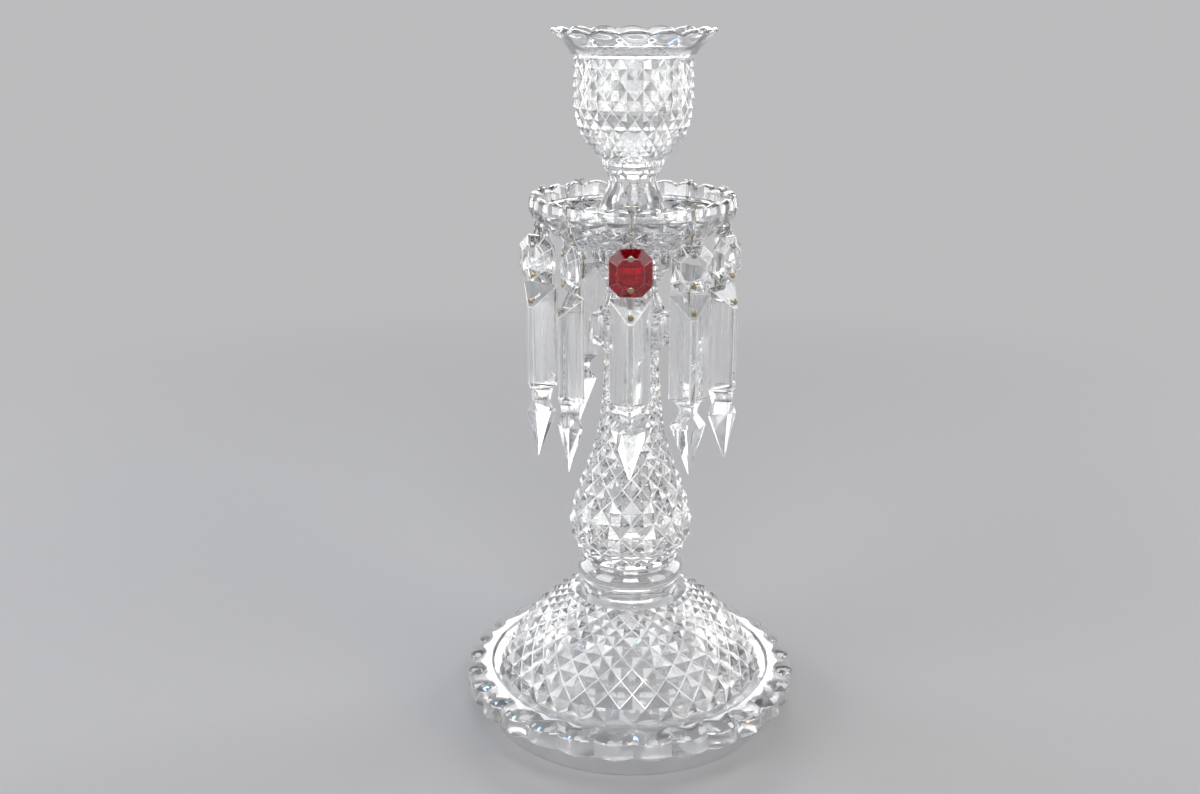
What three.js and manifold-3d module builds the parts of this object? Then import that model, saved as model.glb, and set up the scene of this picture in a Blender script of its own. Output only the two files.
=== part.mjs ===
// Pressed lead-crystal candlestick with a ring of prism chains under its drip pan.
// Millimetres, +Z up, origin on the surface that it stands on, the ruby chain to the front (-Y).

import * as THREE from 'three';
import { mergeVertices } from 'three/addons/utils/BufferGeometryUtils.js';
import Module from 'manifold-3d';

const wasm = await Module();
wasm.setup();

// Fits
const seatGap = 0.3; // between pieces that rest on each other
const spigotPlay = 0.4; // round a spigot in its socket
const wireGap = 0.3; // between a wire and the glass or wire that carries it

// Roundness
const roundSteps = 24; // sides of the plain round parts
const boreSteps = 16;
const pegSteps = 12;
const seatBevel = 0.6; // round the flat ends that rest on each other

// Base plate
const plateRadius = 63.7;
const plateThickness = 13.2;
const plateEdge = 0.8; // bevel round both edges
const plateSides = 36;

// Foot: a hollow dome on a scalloped rim
const rimRadius = 75;
const rimHeight = 8.2;
const rimLobes = 28;
const rimLobeDepth = 2.6;
const rimEdge = 0.9;
const rimSag = 0.5; // how much lower the valleys lie on the rim's upper edge
const crestRadius = 66; // plain ridge inside the scallops
const crestRise = 1.9; // above the rim's upper edge
const petalShare = 0.8; // how far the petals have risen, halfway to the ridge
const grooveRadius = 62.4; // channel between ridge and dome
const grooveDepth = 1.3;
const domeRadius = 60.2;
const domeRise = 37.1; // from groove to shoulder
const domeTopRadius = 26.4;
const domeBow = 4.2; // how far the dome bulges beyond a straight cone
const domeFillet = 1.2; // between the dome and its waist
const footCells = 32;
const hollowRadius = 54;
const hollowHeight = 40;
const waistRadius = 21.3; // plain neck above the dome
const waistHeight = 4.8;
const collarRadius = 23.8; // ring at the top of the foot
const collarHeight = 10.2;
const registerRadius = 8; // shallow peg that centres the column on the foot
const registerDepth = 3;

// Column: a baluster covered in diamonds, a faceted knop between two pointed tiers, a neck and a capital
const columnFootRadius = 21.4;
const columnFootHeight = 1.6;
const bellyRadius = 27.9;
const bellyHeight = 15.5;
const hipRadius = 24.6;
const hipHeight = 30;
const taperRadius = 15.9;
const taperHeight = 54;
const shaftTopRadius = 11.8;
const shaftHeight = 94.4;
const columnCells = 16;
const tierRadius = 15.5;
const tierCells = 12;
const lowerTierHeight = 4;
const knopFacets = 6; // one faces the front
const knopReach = 16; // from the axis to the middle of a facet
const knopSwell = 19.6; // radius that the knop would have without its facets
const knopHeight = 12.6;
const knopCrown = 3.7; // height of its rounded top
const upperTierHeight = 4.8;
const neckHeight = 19.8; // from the upper tier to the capital
const neckFootRadius = 12.6;
const neckRadius = 11;
const narrowest = 0.3; // where the neck is narrowest, as a share of its height
const bellRadius = 16.2; // where the neck has flared out under the capital
const bellTop = 0.8; // where the flare ends, as a share of the neck's height
const bellGroove = 0.8; // groove under the capital
const capitalRadius = 17.3;
const capitalHeight = 4.2;
const capitalFlutes = 24;
const fluteDepth = 0.9;

// Drip pan
const panFloorRadius = 18;
const panFloorThickness = 5.2;
const panBowlRadius = 39.8; // where the bowl meets the rim
const panBowlRise = 11.4;
const panRimReach = 3.9; // beyond the bowl's edge
const panRimRadius = panBowlRadius + panRimReach;
const panRimHeight = 11;
const panRimLobes = 24;
const panRimLobeDepth = 1.1;
const panRimSag = 1.3; // how much lower the valleys lie on the rim's upper edge
const panRimThickness = 4.4;
const panLedgeDepth = 6.4; // plain band inside the rim
const panLedgeWidth = 2;
const panBoreExtra = 0.4; // the pan's hole is wider than the column's
const panCells = 24;

// Candle cup
const cupFootRadius = 15;
const cupFootRise = 12.4;
const cupFootEdge = 0.8; // height of the bevel round its foot
const stemRadius = 10.2;
const stemHeight = 22; // from the pan to the middle of the fluted stem
const stemHalf = 2; // half the length of its narrowest part
const stemSides = 12;
const beadRadius = 13.2; // small ring of square facets under the bowl
const beadHeight = 30;
const beadHalf = 0.9;
const beadDepth = 0.5;
const cupRadius = 24.8;
const cupHeight = 73.2; // from the pan to the top of the diamonds
const cupShoulderHeight = 52; // where the round bottom becomes the straight wall
const cupCells = 24;
const lipRadius = 33.8;
const lipRise = 9.6;
const lipLobes = 16;
const lipLobeDepth = 1.3;
const lipSag = 1.5; // how much lower the valleys lie on the lip's edge
const lipCrown = 0.5; // how far the lip's edge is domed
const lipThickness = 1.5;
const cupWall = 3.5;
const candleRadius = 11.3;
const candleDepth = 11.3; // straight part of the candle socket
const socketTaper = 6.5; // cone that leads into it
const socketFloorHeight = 34.2;
const spigotRadius = 6;
const spigotLength = 32.5;

// Relief of the diamonds
const cellAspect = 1.14; // height of a diamond over its width
const cellDepth = 0.38; // depth of its groove over half its width
const panCellAspect = 1.27;
const cupCellAspect = 1.2;

// Prism chains
const chainCount = 10;
const chainInset = 2.5; // from the pan's outer edge in to the hangers
const chainRadius = panRimRadius - chainInset;
const chainStart = -2.3; // azimuth of the front chain, degrees
const chainTwist = [2, -23, -23, 6, -9, 12, -5, 8, 41, -31]; // as they hang, degrees from radial
const wireRadius = 0.36;
const hangerHole = 1.1; // radius of the hole through the pan's rim
const eyeWidth = 3.3;
const eyeHeight = 3;
const eyeDip = 2; // from the top of the pan's bowl down to the eye's bottom wire
const legGap = 0.16; // between the two legs of a split pin
const legSpread = 2.5; // each leg's foot on top of the rim
const hookRun = 6.3; // from the eye down to the octagon's upper hole
const hookBack = 2.7; // how far behind the octagon's middle the hook's wire rises
const hookRise = 2.4; // height of that upright
const octagonWidth = 17.3;
const octagonHeight = 19.4;
const octagonFlat = 8.7; // length of its top and bottom edges
const octagonGirdle = 1.4;
const octagonDepth = 5.8;
const octagonTable = 0.62; // flat table over the whole width
const starWidth = 0.56; // the star's middle over the whole width
const starRise = 0.4; // how far its point stands out behind
const octagonPin = 6.2; // from its centre to either hole
const pinHole = 0.75;
const headRadius = 1.25;
const headThickness = 0.6;
const headStand = 1.4; // from the prism's slanted facet out to its pin head
const linkDrop = 10.8; // from the octagon's lower hole to the prism's hole
const backRun = 3.7; // how far behind the stones the wires run
const prismWidth = 16.6;
const prismDepth = 8.4;
const prismRidge = 2.4; // width of the narrow facet down its front
const prismBack = 2.9; // its flat back behind the chain's line
const prismEdge = 1.1;
const prismTop = 6.2; // above its hole
const prismNotch = 2.6; // foot of the slanted top facet, below its hole
const prismBody = 37.3; // from its hole to the shoulder
const prismNeckWidth = 7.6;
const prismNeckDepth = 6.4;
const prismNeckDrop = 6.2; // from the shoulder to the neck
const spearWidth = 15.1;
const spearDepth = 6.6;
const spearShoulder = 4.9; // from the neck to the spear's widest line
const spearLength = 20.7;
const spearFace = 6.2; // width of its flat front face at the widest line
const spearEdge = 3; // height of its sides at the widest line

// Materials
const finish = (color, roughness, metalness) =>
  new THREE.MeshStandardMaterial({ color, roughness, metalness });
const crystal = () => finish(0xe9f1f6, 0.04, 0);
const ruby = () => finish(0xb00418, 0.05, 0);
const brass = () => finish(0xb8a878, 0.35, 1);
const satinNickel = () => finish(0xa9a9ab, 0.42, 1);

// Rings of points: every body here is a run of closed rings, each joined to the next
const onAxis = (height) => [{ angle: 0, spot: new THREE.Vector3(0, 0, height) }];

function polar(angle, radius, height) {
  return { angle, spot: new THREE.Vector3(radius * Math.cos(angle), radius * Math.sin(angle), height) };
}

function circle(radius, height, count, turn = 0) {
  return Array.from({ length: count }, (_, i) => polar(turn + (i * 2 * Math.PI) / count, radius, height));
}

// A ring whose lobes bulge between sharp valleys, which lie deeper and lower by the sag.
// One valley faces the front, or one lobe.
const lobeSteps = 4;
function scallops(radius, height, lobes, { depth, sag = 0, lobeInFront = false }) {
  const pitch = (2 * Math.PI) / lobes;
  const first = -Math.PI / 2 + (lobeInFront ? -pitch / 2 : 0);
  return Array.from({ length: lobes * lobeSteps }, (_, i) => {
    const across = (i % lobeSteps) / lobeSteps - 0.5;
    const fold = 4 * across * across;
    return polar(first + (i * pitch) / lobeSteps, radius - depth * fold, height - sag * fold);
  });
}

// A round ring cut by equal flats, whose distance from the axis is the reach; one flat faces the front
const flatSteps = 4;
function flats(radius, height, count, reach) {
  const pitch = (2 * Math.PI) / count;
  return Array.from({ length: count * flatSteps }, (_, i) => {
    const across = ((i % flatSteps) / flatSteps - 0.5) * pitch;
    const angle = -Math.PI / 2 - pitch / 2 + (i * pitch) / flatSteps;
    return polar(angle, Math.min(radius, reach / Math.cos(across)), height);
  });
}

// A ring of flutes: alternate points lie deeper
function flutes(radius, height, count, depth) {
  return Array.from({ length: count * 2 }, (_, i) =>
    polar((i * Math.PI) / count, radius - (i % 2) * depth, height));
}

// Rows of a diamond lattice along an outline of radius and height, which runs over the diamonds' points.
// Rows are spaced in proportion to the radius, so that every diamond keeps its shape.
function lattice(outline, around, aspect) {
  const spots = outline.getPoints(240);
  const reach = [0];
  spots.slice(1).forEach((spot, i) => {
    reach.push(reach[i] + (2 * spot.distanceTo(spots[i])) / (spot.x + spots[i].x));
  });
  const total = reach[reach.length - 1];
  const rowCount = Math.max(2, Math.round(total / ((aspect * Math.PI) / around)));
  const rows = [];
  for (let row = 0; row <= rowCount; row += 1) {
    const target = (total * row) / rowCount;
    const after = Math.max(1, reach.findIndex((value) => value >= target - 1e-9));
    const share = (target - reach[after - 1]) / (reach[after] - reach[after - 1]);
    const crest = spots[after - 1].clone().lerp(spots[after], share);
    const along = spots[after].clone().sub(spots[after - 1]).normalize();
    const outward = new THREE.Vector2(along.y, -along.x);
    const depth = (cellDepth * Math.PI * crest.x) / around;
    rows.push({ crest, outward, depth, nodes: crest.clone().addScaledVector(outward, -depth) });
  }
  return { rows, around };
}

// Joins a run of rings and lattices into one closed body, or into a torus when it ends where it starts
function loft(run, { closed = false } = {}) {
  const spots = [];
  const faces = [];
  const place = (ring) => ring.map(({ angle, spot }) => ({ angle, at: spots.push(spot) - 1 }));
  const raise = (angle, { x, y }) => spots.push(polar(angle, x, y).spot) - 1;

  // Triangles between two rings, walking round both by angle, or point by point where counts agree
  function stitch(low, high) {
    const steps = [low, high].map((ring) => (ring.length === 1 ? 0 : ring.length));
    const paired = low.length === high.length;
    const nearest = high.reduce((best, point, i) =>
      (turnBetween(low[0].angle, point.angle) < turnBetween(low[0].angle, high[best].angle) ? i : best), 0);
    const shift = paired ? 0 : nearest;
    const lowAt = (i) => low[i % low.length];
    const highAt = (i) => high[(i + shift) % high.length];
    const middle = (ring, i) => (i + 0.5) / ring.length;
    const lead = paired || high.length === 1 || low.length === 1
      ? 0 : signedTurn(low[0].angle, highAt(0).angle) / (2 * Math.PI);
    let i = 0;
    let j = 0;
    while (i < steps[0] || j < steps[1]) {
      const lowNext = i < steps[0] ? middle(low, i) : Infinity;
      const highNext = j < steps[1] ? middle(high, j) + lead : Infinity;
      if (lowNext <= highNext) {
        faces.push([lowAt(i).at, lowAt(i + 1).at, highAt(j).at]);
        i += 1;
      } else {
        faces.push([lowAt(i).at, highAt(j + 1).at, highAt(j).at]);
        j += 1;
      }
    }
  }

  // Four facets rise to a point in every whole diamond, three in the halves along both borders
  function facet({ rows, around }) {
    const pitch = (2 * Math.PI) / around;
    const rings = rows.map(({ nodes }, row) =>
      place(circle(nodes.x, nodes.y, around, ((row % 2) * pitch) / 2)));
    rows.forEach(({ crest, depth, outward }, row) => {
      const ring = rings[row];
      const below = rings[row - 1];
      const above = rings[row + 1];
      const ahead = row % 2;
      for (let i = 0; i < around; i += 1) {
        const left = ring[i];
        const right = ring[(i + 1) % around];
        const bottom = below && below[(i + ahead) % around];
        const top = above && above[(i + ahead) % around];
        const whole = bottom && top;
        const border = rows[row + (top ? 1 : -1)];
        const point = whole ? crest : rows[row].nodes.clone().lerp(border.nodes, 1 / 3)
          .addScaledVector(outward, depth * 0.7);
        const tip = raise(left.angle + pitch / 2, point);
        const edge = [bottom, right, top, left].filter(Boolean).map(({ at }) => at);
        edge.forEach((at, k) => faces.push([at, edge[(k + 1) % edge.length], tip]));
      }
    });
    return [rings[0], rings[rings.length - 1]];
  }

  let first = null;
  let last = null;
  run.forEach((station) => {
    const [start, end] = station.rows ? facet(station) : Array(2).fill(place(station));
    if (last) stitch(last, start);
    first = first || start;
    last = end;
  });
  if (closed) stitch(last, first);

  const geometry = new THREE.BufferGeometry();
  const coordinates = spots.flatMap((spot) => spot.toArray());
  geometry.setAttribute('position', new THREE.Float32BufferAttribute(coordinates, 3));
  geometry.setIndex(faces.flat());
  return geometry;
}

function signedTurn(from, to) {
  return Math.atan2(Math.sin(to - from), Math.cos(to - from));
}

function turnBetween(from, to) {
  return Math.abs(signedTurn(from, to));
}

const outlineOf = (...spots) => new THREE.SplineCurve(spots.map(([r, z]) => new THREE.Vector2(r, z)));

// Solids, for the pieces that are drilled or joined
function solid(geometry) {
  const bare = geometry.clone();
  bare.deleteAttribute('normal');
  bare.deleteAttribute('uv');
  const merged = mergeVertices(bare);
  return new wasm.Manifold(new wasm.Mesh({
    numProp: 3,
    vertProperties: new Float32Array(merged.attributes.position.array),
    triVerts: new Uint32Array(merged.index.array),
  }));
}

function surface(body) {
  const { numProp, vertProperties, triVerts } = body.getMesh();
  const geometry = new THREE.BufferGeometry();
  const spots = new THREE.InterleavedBuffer(new Float32Array(vertProperties), numProp);
  geometry.setAttribute('position', new THREE.InterleavedBufferAttribute(spots, 3, 0));
  geometry.setIndex(Array.from(triVerts));
  return geometry;
}

function piece(name, geometry, material) {
  geometry.computeVertexNormals();
  const mesh = new THREE.Mesh(geometry, material);
  mesh.name = name;
  return mesh;
}

// Base plate
function basePlate() {
  const edge = plateEdge;
  const profile = [
    [0, 0],
    [plateRadius - edge, 0],
    [plateRadius, edge],
    [plateRadius, plateThickness - edge],
    [plateRadius - edge, plateThickness],
    [0, plateThickness],
  ].map(([r, z]) => new THREE.Vector2(r, z));
  const geometry = new THREE.LatheGeometry(profile, plateSides);
  geometry.rotateX(Math.PI / 2);
  return piece('base_plate', geometry, satinNickel());
}

// Foot
const crestHeight = rimHeight + crestRise;
const domeBottom = crestHeight - grooveDepth;
const domeTop = domeBottom + domeRise;
const waistTop = domeTop + waistHeight;
const footHeight = waistTop + collarHeight;

function foot() {
  const slope = Math.atan2(domeRise, domeRadius - domeTopRadius);
  const domeAt = (share) => {
    const bow = domeBow * Math.sin(Math.PI * share);
    return [
      THREE.MathUtils.lerp(domeRadius, domeTopRadius, share) + bow * Math.sin(slope),
      domeBottom + domeRise * share + bow * Math.cos(slope),
    ];
  };
  const dome = outlineOf(...[0, 0.25, 0.5, 0.75, 1].map(domeAt));
  const hollow = [0.3, 0.62, 1].map((share) => {
    const angle = (share * Math.PI) / 2;
    return circle(hollowRadius * Math.sin(angle), hollowHeight * Math.cos(angle), roundSteps);
  });
  const collar = [0, 0.3, 0.7, 1].map((share) => {
    const bulge = (collarRadius - waistRadius) * Math.sin(share * Math.PI);
    return circle(waistRadius + bulge, waistTop + (collarHeight - seatBevel) * share, roundSteps);
  });
  const lobed = (radius, height, depth, sag = 0) => scallops(radius, height, rimLobes, { depth, sag });
  const recess = registerRadius + spigotPlay;
  const recessFloor = footHeight - registerDepth - seatGap;
  return piece('foot', loft([
    onAxis(hollowHeight),
    ...hollow,
    lobed(rimRadius, 0, rimLobeDepth),
    lobed(rimRadius, rimHeight - rimEdge, rimLobeDepth),
    lobed(rimRadius - rimEdge, rimHeight, rimLobeDepth, rimSag),
    lobed((rimRadius + crestRadius) / 2, rimHeight + crestRise * petalShare, rimLobeDepth / 2, 2 * rimSag),
    circle(crestRadius, crestHeight, 2 * rimLobes),
    circle(grooveRadius, domeBottom, footCells),
    lattice(dome, footCells, cellAspect),
    circle(waistRadius + domeFillet, domeTop, roundSteps),
    circle(waistRadius, domeTop + domeFillet, roundSteps),
    ...collar,
    circle(columnFootRadius - seatBevel, footHeight, roundSteps),
    circle(recess, footHeight, pegSteps),
    circle(recess, recessFloor, pegSteps),
    onAxis(recessFloor),
  ]), crystal());
}

// Column
const knopBottom = shaftHeight + lowerTierHeight;
const knopTop = knopBottom + knopHeight;
const neckBottom = knopTop + upperTierHeight;
const capitalBottom = neckBottom + neckHeight;
const columnHeight = capitalBottom + capitalHeight;

function neckRing(share) {
  const rising = share > narrowest;
  const spread = rising ? (share - narrowest) / (bellTop - narrowest) : (narrowest - share) / narrowest;
  const radius = rising
    ? THREE.MathUtils.lerp(neckRadius, bellRadius, spread ** 1.5)
    : THREE.MathUtils.lerp(neckRadius, neckFootRadius, spread ** 2);
  return circle(radius, neckBottom + neckHeight * share, roundSteps);
}

function column() {
  const shaft = outlineOf(
    [columnFootRadius + seatBevel, columnFootHeight],
    [bellyRadius - 0.8, bellyHeight * 0.58],
    [bellyRadius, bellyHeight],
    [hipRadius, hipHeight],
    [taperRadius, taperHeight],
    [(taperRadius + 2 * shaftTopRadius) / 3, (taperHeight + shaftHeight) / 2],
    [shaftTopRadius, shaftHeight],
  );
  const lowerTier = outlineOf(
    [shaftTopRadius + seatBevel, shaftHeight + seatBevel],
    [tierRadius - 0.8, (shaftHeight + knopBottom) / 2],
    [tierRadius, knopBottom],
  );
  const crown = [0, 0.5, 0.85, 1].map((share) => flats(
    THREE.MathUtils.lerp(tierRadius, knopSwell, Math.sqrt(1 - share ** 2)),
    knopTop - knopCrown * (1 - share),
    knopFacets,
    knopReach,
  ));
  const upperTier = outlineOf(
    [tierRadius - 0.4, knopTop + seatBevel / 2],
    [tierRadius, knopTop + upperTierHeight / 3],
    [neckFootRadius + 0.3, neckBottom],
  );
  const bore = spigotRadius + spigotPlay;
  const boreFloor = columnHeight + seatGap + panFloorThickness - spigotLength;
  return piece('column', loft([
    onAxis(-registerDepth),
    circle(registerRadius, -registerDepth, pegSteps),
    circle(registerRadius, 0, pegSteps),
    circle(columnFootRadius - seatBevel, 0, roundSteps),
    circle(columnFootRadius, seatBevel, roundSteps),
    lattice(shaft, columnCells, cellAspect),
    lattice(lowerTier, tierCells, cellAspect),
    flats(knopSwell, knopBottom + seatBevel / 2, knopFacets, knopReach),
    ...crown,
    lattice(upperTier, tierCells, cellAspect),
    ...[0.15, narrowest, 0.45, 0.62, bellTop].map(neckRing),
    circle(bellRadius, capitalBottom - 2 * bellGroove, roundSteps),
    circle(bellRadius - bellGroove, capitalBottom - bellGroove, roundSteps),
    flutes(capitalRadius, capitalBottom, capitalFlutes, fluteDepth),
    flutes(capitalRadius, columnHeight, capitalFlutes, fluteDepth),
    circle(bore, columnHeight, boreSteps),
    circle(bore, boreFloor, boreSteps),
    onAxis(boreFloor),
  ]), crystal());
}

// Drip pan
const panHeight = panBowlRise + panRimHeight;

function dripPan() {
  const bore = spigotRadius + spigotPlay + panBoreExtra;
  const outer = outlineOf(
    [panFloorRadius + 1, 0.2],
    [panFloorRadius + 9, 1.8],
    [panBowlRadius - 3.8, panBowlRise * 0.62],
    [panBowlRadius, panBowlRise],
  );
  const ledge = panHeight - panLedgeDepth;
  const innerRadius = panRimRadius - panRimThickness;
  const bowl = [0, 0.3, 0.65, 1].map((share) => circle(
    THREE.MathUtils.lerp(innerRadius - panLedgeWidth, panFloorRadius, share),
    THREE.MathUtils.lerp(ledge - seatBevel, panFloorThickness, Math.sin((share * Math.PI) / 2)),
    panCells,
  ));
  const rim = [
    [panRimRadius - 0.5, panBowlRise + 3.2, 1, 0],
    [panRimRadius, panHeight - 3, 1, 0.2],
    [panRimRadius - 1.6, panHeight, 1, 1],
    [innerRadius + 0.4, panHeight - 0.4, 0.3, 1],
  ].map(([radius, height, fold, sag]) => scallops(radius, height, panRimLobes, {
    depth: panRimLobeDepth * fold,
    sag: panRimSag * sag,
  }));
  let body = solid(loft([
    circle(bore, 0, boreSteps),
    circle(panFloorRadius, 0, panCells),
    lattice(outer, panCells, panCellAspect),
    ...rim,
    circle(innerRadius - seatBevel, ledge, 2 * panCells),
    ...bowl,
    circle(bore, panFloorThickness, boreSteps),
  ], { closed: true }));
  for (let k = 0; k < chainCount; k += 1) {
    const hole = new THREE.CylinderGeometry(hangerHole, hangerHole, 3 * panRimHeight, 6);
    hole.rotateX(Math.PI / 2);
    hole.translate(0, -chainRadius, panHeight);
    hole.rotateZ(THREE.MathUtils.degToRad(chainAzimuth(k)));
    body = body.subtract(solid(hole));
  }
  return piece('drip_pan', surface(body), crystal());
}

// Candle cup
const lipHeight = cupHeight + lipRise;

function candleCup() {
  const bowl = outlineOf(
    [beadRadius + 1.1, beadHeight + 2.1],
    [cupRadius - 6.3, beadHeight + 5.8],
    [cupRadius - 3.2, beadHeight + 10.4],
    [cupRadius - 1.2, beadHeight + 16],
    [cupRadius, cupShoulderHeight],
    [cupRadius, (cupShoulderHeight + cupHeight) / 2],
    [cupRadius, cupHeight - 1],
  );
  const throat = cupRadius - cupWall;
  const socketTop = socketFloorHeight + candleDepth;
  const waved = (radius, height, share) => scallops(radius, height, lipLobes, {
    depth: lipLobeDepth * share,
    sag: lipSag * share ** 3,
    lobeInFront: true,
  });
  const outside = (share) => [
    THREE.MathUtils.lerp(cupRadius, lipRadius, share ** 0.85),
    cupHeight + lipRise * share,
  ];
  const inside = (share) => [
    THREE.MathUtils.lerp(throat, lipRadius - lipThickness, share),
    cupHeight + lipRise * share ** 1.1,
  ];
  return piece('candle_cup', loft([
    onAxis(-spigotLength),
    circle(spigotRadius - seatBevel, -spigotLength, boreSteps),
    circle(spigotRadius, seatBevel - spigotLength, boreSteps),
    circle(spigotRadius, 0, boreSteps),
    circle(cupFootRadius - seatBevel, 0, stemSides),
    circle(cupFootRadius, cupFootEdge, stemSides),
    circle(cupFootRadius - 0.4, cupFootRise * 0.6, stemSides),
    circle(cupFootRadius - 1.4, cupFootRise, stemSides),
    circle((cupFootRadius + 3 * stemRadius) / 4, (cupFootRise + stemHeight) / 2, stemSides),
    circle(stemRadius, stemHeight - stemHalf, stemSides),
    circle(stemRadius, stemHeight + stemHalf, stemSides),
    circle((stemRadius + beadRadius) / 2, beadHeight - stemHalf, stemSides),
    flutes(beadRadius, beadHeight - beadHalf, cupCells, beadDepth),
    flutes(beadRadius, beadHeight + beadHalf, cupCells, beadDepth),
    lattice(bowl, cupCells, cupCellAspect),
    circle(...outside(0.1), cupCells),
    ...[0.5, 0.97].map((share) => waved(...outside(share), share)),
    waved(lipRadius - lipThickness / 2, lipHeight + lipCrown, 1),
    waved(...inside(0.95), 0.95),
    circle(...inside(0.4), cupCells),
    circle(throat, cupHeight - 1, cupCells),
    circle(throat, socketTop + socketTaper, cupCells),
    circle(candleRadius, socketTop, cupCells),
    circle(candleRadius, socketFloorHeight, cupCells),
    onAxis(socketFloorHeight),
  ]), crystal());
}

// Wires bent in one plane: mitred rings at the bends, with an optional flat head at either end
const wireSides = 4;
function wire(name, bends, across, { headAtStart = false, headAtEnd = false } = {}) {
  const ringRound = (centre, ahead, radius, stretch = 1) => {
    const side = across.clone().cross(ahead).normalize();
    return Array.from({ length: wireSides }, (_, i) => {
      const angle = (i * 2 * Math.PI) / wireSides;
      const spot = centre.clone()
        .addScaledVector(side, radius * stretch * Math.cos(angle))
        .addScaledVector(across, radius * Math.sin(angle));
      return { angle, spot };
    });
  };
  const ways = bends.slice(1).map((spot, i) => spot.clone().sub(bends[i]).normalize());
  const rings = bends.map((centre, i) => {
    const before = ways[Math.max(0, i - 1)];
    const after = ways[Math.min(i, ways.length - 1)];
    const ahead = before.clone().add(after).normalize();
    return ringRound(centre, ahead, wireRadius, 1 / ahead.dot(before));
  });
  const point = (spot) => [{ angle: 0, spot }];
  const end = (centre, ahead, outward, headed) => {
    const face = centre.clone().addScaledVector(ahead, outward * headThickness);
    return headed
      ? [ringRound(centre, ahead, headRadius), ringRound(face, ahead, headRadius), point(face)]
      : [point(centre)];
  };
  return piece(name, loft([
    ...end(bends[0], ways[0], -1, headAtStart).reverse(),
    ...rings,
    ...end(bends[bends.length - 1], ways[ways.length - 1], 1, headAtEnd),
  ]), brass());
}

// Chains: each hangs from its own eye, whose bottom is the origin here, and faces local -Y
const sideways = new THREE.Vector3(1, 0, 0);
const backward = new THREE.Vector3(0, 1, 0);
const octagonDrop = hookRun + octagonPin;
const prismPin = octagonDrop + octagonPin + linkDrop;
const eyeHeightInPan = panBowlRise - eyeDip;

function chainAzimuth(k) {
  return chainStart + (k * 360) / chainCount;
}

// Split pin: its legs pass up through the pan's rim and lie apart on top
function hanger(name) {
  const legX = wireRadius + legGap / 2;
  const top = panHeight - eyeHeightInPan + seatGap + wireRadius;
  const rightHalf = [
    [wireRadius, 0],
    [eyeWidth / 2 - wireRadius, eyeHeight / 2],
    [legX, eyeHeight],
    [legX, top],
    [legSpread, top],
  ];
  const leftHalf = rightHalf.map(([x, z]) => [-x, z]).reverse();
  const bends = [...leftHalf, ...rightHalf].map(([x, z]) => new THREE.Vector3(x, 0, z));
  return wire(name, bends, backward);
}

// Headed pin: through the octagon from the front, up its back and over the hanger's eye
function upperLink(name) {
  const loop = 2 * wireRadius + wireGap;
  const front = -octagonDepth / 2 - wireGap;
  const bends = [
    [front, -hookRun],
    [hookBack, -hookRun],
    [hookBack, hookRise - hookRun],
    [loop, -loop],
    [loop, loop * 0.4],
    [loop * 0.4, loop],
    [-loop * 0.4, loop],
    [-loop, loop * 0.4],
    [-loop, -loop * 0.6],
  ].map(([y, z]) => new THREE.Vector3(0, y, z));
  return wire(name, bends, sideways, { headAtStart: true });
}

// Double-headed wire: through the octagon, down behind both stones and forward through the prism
function lowerLink(name) {
  const octagonFront = -octagonDepth / 2 - wireGap;
  const prismFront = facetDepthAtHole() - headStand;
  const pin = octagonDrop + octagonPin;
  const bends = [
    [octagonFront, -pin],
    [backRun, -pin],
    [backRun, -prismPin],
    [prismFront, -prismPin],
  ].map(([y, z]) => new THREE.Vector3(0, y, z));
  return wire(name, bends, sideways, { headAtStart: true, headAtEnd: true });
}

// A hole from front to back, for the wires
function pinBore(height) {
  const bore = new THREE.CylinderGeometry(pinHole, pinHole, 4 * prismDepth, 6);
  bore.translate(0, 0, height);
  return solid(bore);
}

// Octagon: flat table, bevels and girdle in front, an eight-sided star behind
function octagon(name, material) {
  const outline = (scale, depth, turned = false) => {
    const halfWidth = (octagonWidth / 2) * scale;
    const halfHeight = (octagonHeight / 2) * scale;
    const flat = (octagonFlat / 2) * scale;
    const side = halfHeight - (halfWidth - flat);
    const corners = [
      [flat, -halfHeight], [halfWidth, -side], [halfWidth, side], [flat, halfHeight],
      [-flat, halfHeight], [-halfWidth, side], [-halfWidth, -side], [-flat, -halfHeight],
    ];
    const ring = turned
      ? corners.map(([x, z], i) => [(x + corners[(i + 1) % 8][0]) / 2, (z + corners[(i + 1) % 8][1]) / 2])
      : corners;
    return ring.map(([x, z], i) => ({ angle: (i * Math.PI) / 4, spot: new THREE.Vector3(x, depth, z) }));
  };
  const half = octagonDepth / 2;
  const girdle = octagonGirdle / 2;
  const centre = (depth) => [{ angle: 0, spot: new THREE.Vector3(0, depth, 0) }];
  const stone = loft([
    centre(half + starRise),
    outline(starWidth, half, true),
    outline(1, girdle),
    outline(1, -girdle),
    outline(octagonTable, -half),
    centre(-half),
  ]);
  stone.translate(0, 0, -octagonDrop);
  const holes = [octagonPin, -octagonPin].map((height) => pinBore(height - octagonDrop));
  return piece(name, surface(holes.reduce((body, hole) => body.subtract(hole), solid(stone))), material);
}

// How far forward the prism's slanted top facet lies at the height of its hole
function facetDepthAtHole() {
  const share = prismNotch / (prismTop + prismNotch);
  return THREE.MathUtils.lerp(prismBack - prismDepth, prismBack - prismEdge, share);
}

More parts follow.
